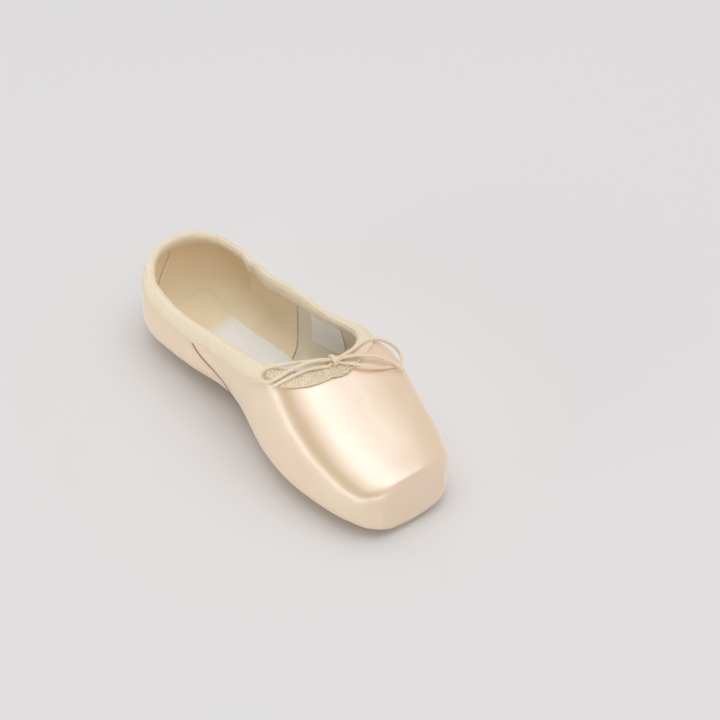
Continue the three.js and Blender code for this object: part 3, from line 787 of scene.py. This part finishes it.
# Puckers: slow swells round the roll, deeper at the heel, and small pleats at the throat. Their lengths
# are in mm along the tape, and a slower wave makes each uneven.
LONG_SWELL = 9.3
SHORT_SWELL = 4.7
PLEAT_LENGTH = 2.7
ROLL_HEIGHT = 3.2
heel_share = np.clip((70 - tape_back) / 50, 0, 1)
swell = np.sin(tape_along * 2 * math.pi / LONG_SWELL + 2 * np.sin(tape_along * 0.11))
swell += 0.6 * np.sin(tape_along * 2 * math.pi / SHORT_SWELL + 1.3 + 1.6 * np.sin(tape_along * 0.19))
roll = np.exp(-(tape_down / ROLL_HEIGHT) ** 2)
puff = (0.22 + 0.3 * heel_share) * (0.6 + 0.4 * swell) * roll + 0.1 * swell * (1 - roll)
pleats = np.sin(tape_along * 2 * math.pi / PLEAT_LENGTH + 1.5 * np.sin(tape_along * 0.31) + 0.12 * tape_down)
puff += gather * (0.22 + 0.2 * pleats) * np.clip(tape_down / 2, 0.3, 1) * np.clip((10 - tape_down) / 4, 0, 1)
puff += gather * 0.5 * np.exp(-((tape_down - 4) / 3) ** 2)
set_points(binding, tape_points + tape_normals * puff[:, None] * MM)

add_values(binding, "tape_along", tape_along)
add_values(binding, "tape_down", np.where(tape_inside, -tape_down, tape_down))
add_values(binding, "gather", gather)

tape, tree, shader = new_material("twill_tape", (0.8, 0.64, 0.43), 0.78)
shader.inputs["Sheen Weight"].default_value = 0.25
along = read_values(tree, "tape_along")
down = read_values(tree, "tape_down")
gathered = read_values(tree, "gather")
uneven = times(tree, minus(tree, noise(tree, 300, 2), 0.5), 1.6)
slant = times(tree, along, 0.8)
slant = plus(tree, slant, times(tree, down, 0.75))
slant = plus(tree, times(tree, slant, 2 * math.pi / 1.15), uneven)
twill = plus(tree, times(tree, mathematics(tree, "SINE", slant), 0.5), 0.5)
fibres = noise(tree, 2200, 3)
pleat = times(tree, along, 2 * math.pi / 1.5)
pleat = plus(tree, pleat, times(tree, noise(tree, 120, 2), 14))
pleat = plus(tree, times(tree, mathematics(tree, "SINE", pleat), 0.5), 0.5)
pleat = times(tree, pleat, gathered)
cloth = mix_colours(tree, fade(tree, twill, 0.1, 0.9), (0.86, 0.65, 0.42), (1.0, 0.91, 0.74))
cloth = mix_colours(tree, fade(tree, fibres, 0.4, 0.75, 0, 0.35), cloth, (1.0, 0.93, 0.78))
low_edge = fade(tree, absolute(tree, down), 5, 9, 0, 0.5)
cloth = mix_colours(tree, low_edge, cloth, (0.92, 0.74, 0.53))
# Painted shade: the valleys of the pleats gathered at the throat are darkened.
cloth = mix_colours(tree, fade(tree, pleat, 0.2, 0.9, 0, 0.3), cloth, (0.78, 0.52, 0.33))
tree.links.new(cloth, shader.inputs["Base Color"])
folds = bump(tree, minus(tree, 1.0, pleat), 0.5 * MM, 0.8)
ribs = plus(tree, twill, times(tree, fibres, 0.5))
tree.links.new(bump(tree, ribs, 0.28 * MM, 0.8, under=folds), shader.inputs["Normal"])

bpy.ops.object.shade_smooth()
finish_piece(binding, "tape", tape, node="collar_binding")


# ---- Label -------------------------------------------------------------------------------------------
# A small patch of white tape, left bare, on the grey lining inside the right wall. It lies close to the
# wall and is a little wavy towards its lower edge.

LABEL_BACK, LABEL_UP = 117, 42  # mm, the patch's middle: from the back of the heel, and up
LABEL_HALF_LENGTH, LABEL_HALF_HEIGHT = 13, 10.5  # mm


def on_wall(skin, from_heel_mm, up_mm, side, stand_off):
    """A place a little way off the shoe's inside wall, and the way that the wall faces there."""
    start = Vector((0, HEEL_BACK - from_heel_mm * MM, up_mm * MM))
    spot, facing, _, _ = skin.ray_cast(start, Vector((side, 0, 0)))
    return spot - Vector((side, 0, 0)) * stand_off, -Vector((side, 0, 0))


bpy.ops.mesh.primitive_grid_add(x_subdivisions=18, y_subdivisions=14, size=2)
label = bpy.context.object
label.name = "label_patch"
for vertex in label.data.vertices:
    u, v = vertex.co.x, vertex.co.y
    wavy = 0.25 * MM * math.sin(5 * u + 1) * (1 - v) / 2
    label_back = LABEL_BACK + LABEL_HALF_LENGTH * u - 0.8 * v
    label_up = LABEL_UP + LABEL_HALF_HEIGHT * v + 1.5 * u
    vertex.co, _ = on_wall(upper_skin, label_back, label_up, 1, 0.35 * MM + wavy)
thickness = label.modifiers.new("thickness", "SOLIDIFY")
thickness.thickness = 0.25 * MM
thickness.offset = 0
bpy.ops.object.modifier_apply(modifier=thickness.name)
bpy.ops.object.shade_smooth_by_angle(angle=math.radians(50))
label_tape, tree, shader = new_material("label_tape", (0.9, 0.89, 0.86), 0.7)
_, y, z = place_axes(tree)
threads = plain_weave(tree, z, y, 0.6 * MM)
white = mix_colours(tree, fade(tree, noise(tree, 90, 3), 0.3, 0.7), (1.0, 0.99, 0.97), (0.95, 0.93, 0.89))
white = mix_colours(tree, fade(tree, threads, 0.2, 0.7, 0.12, 0), white, (0.55, 0.52, 0.46))
tree.links.new(white, shader.inputs["Base Color"])
tree.links.new(bump(tree, threads, 0.1 * MM, 0.6), shader.inputs["Normal"])
finish_piece(label, "tape", label_tape)


# ---- Stitching ---------------------------------------------------------------------------------------
# Machine stitches in cotton thread: cream along the collar's tape, red-brown down the side seams, dark
# in the lining's seams, and heavy waxed thread sunk in the sole's groove.

# The rings of a stitch, from end to end: how far along it each is, how high it stands, and how wide it
# is, the last two in thicknesses of the thread.
STITCH_RINGS = [(0, -0.5, 0.25), (0.2, 0.2, 0.9), (0.5, 0.35, 1), (0.8, 0.2, 0.9), (1, -0.5, 0.25)]
STITCH_SIDES = 5


def sew(name, places, length, gap, thickness):
    """Short stitches along a line of (place, way it faces) pairs, all in one piece."""
    line, total = smooth_route([place for place, _ in places], 0.2 * MM)
    facings = [facing for _, facing in places]
    step = total / (len(line) - 1)
    verts, faces = [], []
    count = int(total / (length + gap))
    for number in range(count):
        start = number * (length + gap) + gap / 2
        marks = [min(int((start + length * share) / step), len(line) - 1) for share, _, _ in STITCH_RINGS]
        if len(set(marks)) < len(marks):
            continue
        base = len(verts)
        for mark, (_, lift, width) in zip(marks, STITCH_RINGS):
            ahead = (line[min(mark + 1, len(line) - 1)] - line[max(mark - 1, 0)]).normalized()
            facing = facings[min(round(mark / (len(line) - 1) * (len(facings) - 1)), len(facings) - 1)]
            across = ahead.cross(facing).normalized()
            up = across.cross(ahead)
            middle = line[mark] + up * thickness * lift
            for turn in range(STITCH_SIDES):
                angle = 2 * math.pi * turn / STITCH_SIDES
                spread = math.cos(angle) * across + math.sin(angle) * up
                verts.append(middle + spread * thickness * width / 2)
        last_ring = base + (len(STITCH_RINGS) - 1) * STITCH_SIDES
        for ring in range(base, last_ring, STITCH_SIDES):
            for turn in range(STITCH_SIDES):
                a, b = ring + turn, ring + (turn + 1) % STITCH_SIDES
                faces.append((a, b, b + STITCH_SIDES, a + STITCH_SIDES))
        faces.append(tuple(base + turn for turn in reversed(range(STITCH_SIDES))))
        faces.append(tuple(last_ring + turn for turn in range(STITCH_SIDES)))
    mesh = bpy.data.meshes.new(name)
    mesh.from_pydata([vert[:] for vert in verts], [], faces)
    piece = bpy.data.objects.new(name, mesh)
    bpy.context.collection.objects.link(piece)
    bpy.context.view_layer.objects.active = piece
    piece.select_set(True)
    bpy.ops.object.mode_set(mode="EDIT")
    bpy.ops.mesh.select_all(action="SELECT")
    bpy.ops.mesh.normals_make_consistent(inside=False)
    bpy.ops.object.mode_set(mode="OBJECT")
    bpy.ops.object.shade_smooth()
    return piece


def thread(name, colour, dark):
    """A matt twisted thread, with painted shade in the hollows of its twist."""
    material, tree, shader = new_material(name, colour, 0.7)
    twist = noise(tree, 3000, 2)
    tree.links.new(mix_colours(tree, fade(tree, twist, 0.3, 0.7), dark, colour), shader.inputs["Base Color"])
    tree.links.new(bump(tree, twist, 0.1 * MM, 0.6), shader.inputs["Normal"])
    return material


red_thread = thread("red_brown_thread", (0.55, 0.2, 0.1), (0.33, 0.1, 0.05))
for side, name in ((-1, "left"), (1, "right")):
    places = []
    for from_heel_mm, up_mm in SIDE_SEAM[1:-2]:
        start = Vector((side * 90 * MM, HEEL_BACK - from_heel_mm * MM, up_mm * MM))
        spot, facing, _, _ = upper_skin.ray_cast(start, Vector((-side, 0, 0)))
        places.append((spot, facing))
    finish_piece(sew("side_seam_stitches_" + name, places, 1.5 * MM, 0.3 * MM, 0.6 * MM), "cord", red_thread)

dark_thread = thread("dark_thread", (0.36, 0.26, 0.16), (0.2, 0.13, 0.08))
for side, name in ((-1, "left"), (1, "right")):
    places = []
    for from_heel_mm, up_mm in LINING_SEAM[1:-1]:
        places.append(on_wall(upper_skin, from_heel_mm + 0.9, up_mm, side, 0.05 * MM))
    stitches = sew("lining_stitches_" + name, places, 1.3 * MM, 0.9 * MM, 0.3 * MM)
    finish_piece(stitches, "cord", dark_thread)

# The collar's stitches run just above the tape's lower edge, which is smoothed out round the collar.
ABOVE_EDGE = 1.5  # mm
tape_final = points_of(binding)
tape_facings = normals_of(binding)
tape_outer = np.nonzero(~tape_inside & (tape_normals[:, 2] > -0.5))[0]
ring = np.linspace(0, rim_lengths[-1] / MM, 150, endpoint=False)
edge_down = []
for mark in ring:
    near = tape_outer[np.abs(tape_along[tape_outer] - mark) < 2.5]
    edge_down.append(np.percentile(tape_down[near], 96))
edge_down = np.array(edge_down)
for _ in range(6):
    edge_down = (np.roll(edge_down, 1) + 2 * edge_down + np.roll(edge_down, -1)) / 4
places = []
for mark, deep in zip(ring, edge_down):
    gap = (tape_along[tape_outer] - mark) ** 2 + (tape_down[tape_outer] - deep + ABOVE_EDGE) ** 2
    nearest = tape_outer[np.argsort(gap)[:6]]
    facing = Vector(tape_facings[nearest].mean(axis=0)).normalized()
    places.append((Vector(tape_final[nearest].mean(axis=0)) + facing * 0.12 * MM, facing))
places.append(places[0])
cream_thread = thread("cream_thread", (0.93, 0.78, 0.58), (0.72, 0.5, 0.32))
finish_piece(sew("collar_stitches", places, 2 * MM, 0.8 * MM, 0.32 * MM), "cord", cream_thread)

sole_skin = BVHTree.FromPolygons(
    [vertex.co[:] for vertex in outsole.data.vertices],
    [polygon.vertices[:] for polygon in outsole.data.polygons])
half_outline = [(width, y) for width, y in zip(sole_half, sole_rows)
                if sole_rows[0] + SOLE_GROOVE * MM < y < sole_rows[-1] - SOLE_GROOVE * MM]
places = []
for side in (-1, 1):
    line = half_outline if side < 0 else half_outline[::-1]
    for width, y in line:
        start = Vector((side * max(width - SOLE_GROOVE * MM, 0), y, -20 * MM))
        spot, facing, _, _ = sole_skin.ray_cast(start, Vector((0, 0, 1)))
        if spot is not None:
            places.append((spot, facing))
places.append(places[0])
waxed_thread = thread("waxed_thread", (0.7, 0.56, 0.38), (0.42, 0.3, 0.18))
finish_piece(sew("sole_stitches", places, 3 * MM, 1.1 * MM, 0.5 * MM), "cord", waxed_thread)


# ---- Toe pleats --------------------------------------------------------------------------------------
# Under the toes the satin is drawn in over the box in many small pleats, glued down and covered by the
# tip of the sole.

PLEATS = 26
FAN_HALF_TURN = math.radians(108)  # how far round the toe the pleats reach, each way from its tip
FAN_RISE = math.radians(-46)  # the rise of the pleats' middle, seen from the middle of the toe
FAN_HALF_HEIGHT = math.radians(30)
LOWEST_PLEAT = 0.35 * MM
NO_SEAM = 99.0  # mm: too far from any seam for the satin to show one
pleat_middle = Vector((0, HEEL_BACK - 192 * MM, 22 * MM))
bpy.ops.mesh.primitive_grid_add(x_subdivisions=PLEATS * 8, y_subdivisions=16, size=2)
pleats = bpy.context.object
pleats.name = "toe_pleats"
columns = {}
for vertex in pleats.data.vertices:
    columns.setdefault(round(vertex.co.x, 5), []).append(vertex)
for u, column in columns.items():
    turn = FAN_HALF_TURN * u
    last = None
    for vertex in sorted(column, key=lambda vertex: -vertex.co.y):
        v = vertex.co.y
        rise = FAN_RISE + FAN_HALF_HEIGHT * v
        level = math.cos(rise)
        outwards_to = Vector((math.sin(turn) * level, -math.cos(turn) * level, math.sin(rise)))
        spot, facing, face, _ = upper_skin.ray_cast(pleat_middle + outwards_to * (120 * MM), -outwards_to)
        if spot is None or upper.data.polygons[face].material_index == 1 or facing.dot(outwards_to) < 0.2:
            spot, facing = last
        last = spot, facing
        drawn = PLEATS * math.pi * (u + 0.004 * math.sin(23 * u)) + 0.5 * v
        ridge = 1 - abs(math.sin(drawn)) ** 0.7
        shown = min(1, (1 - v) / 1.1) ** 0.8
        place = spot + facing * ((1.1 * ridge + 0.15) * shown - 0.12) * MM
        vertex.co = (place.x, place.y, max(place.z, LOWEST_PLEAT))
bpy.ops.object.mode_set(mode="EDIT")
bpy.ops.mesh.select_all(action="SELECT")
bpy.ops.mesh.normals_make_consistent(inside=False)
bpy.ops.object.mode_set(mode="OBJECT")
facing_down = sum(1 for polygon in pleats.data.polygons if polygon.normal.z < 0)
if facing_down < len(pleats.data.polygons) / 2:
    pleats.data.flip_normals()
thickness = pleats.modifiers.new("thickness", "SOLIDIFY")
thickness.thickness = 0.3 * MM
thickness.offset = -1
bpy.ops.object.modifier_apply(modifier=thickness.name)
bpy.ops.object.shade_smooth()
pleat_count = len(pleats.data.vertices)
add_values(pleats, "from_side_seam", np.full(pleat_count, NO_SEAM))
add_values(pleats, "across", np.zeros(pleat_count))
add_values(pleats, "from_heel", np.full(pleat_count, NO_SEAM))
finish_piece(pleats, "satin", satin)


# ---- Floor and light ---------------------------------------------------------------------------------
# A plain pale floor, a broad soft light overhead, a low soft card at the left that shows in no
# reflection, and a pale room with a darker band over its left horizon.

bpy.ops.mesh.primitive_plane_add(size=8, location=(0, 0, -0.2 * MM))
floor = bpy.context.object
floor.name = "floor"
paper, tree, shader = new_material("floor_paper", (0.79, 0.78, 0.785), 0.95)
floor.data.materials.append(paper)
floor.select_set(False)


def add_softbox(name, place, size, power, colour=(1, 1, 1)):
    """A square area light at a place, aimed at the shoe."""
    bpy.ops.object.light_add(type="AREA", location=place)
    light = bpy.context.object
    light.name = name
    light.data.size = size
    light.data.energy = power
    light.data.color = colour
    light.rotation_euler = Vector(place).to_track_quat("Z", "Y").to_euler()
    light.select_set(False)


add_softbox("overhead", (0.1, -0.36, 1.97), 1.5, 8.3)
add_softbox("left_card", (-2.4, 0.3, 0.25), 1.2, 16, (0.92, 1, 1))
bpy.context.object.visible_glossy = False

world = bpy.data.worlds.new("studio")
world.use_nodes = True
tree = world.node_tree
room = tree.nodes["Background"]
direction = tree.nodes.new("ShaderNodeTexCoord")
split = tree.nodes.new("ShaderNodeSeparateXYZ")
tree.links.new(direction.outputs["Generated"], split.inputs[0])
wall = mix_colours(tree, fade(tree, split.outputs[0], -0.75, 0.3), (3.9, 4.0, 4.0), (0.6, 0.56, 0.52))
shade = mix_colours(tree, fade(tree, split.outputs[0], -0.62, -0.3), (0.08, 0.075, 0.07), (0.72, 0.7, 0.68))
wall = mix_colours(tree, fade(tree, split.outputs[2], 0.0, 0.21), wall, shade)
wall = mix_colours(tree, fade(tree, split.outputs[2], 0.64, 0.82), wall, (1.15, 1.15, 1.15))
tree.links.new(wall, room.inputs["Color"])
room.inputs["Strength"].default_value = 0.9
bpy.context.scene.world = world
bpy.context.scene.view_settings.view_transform = "Standard"
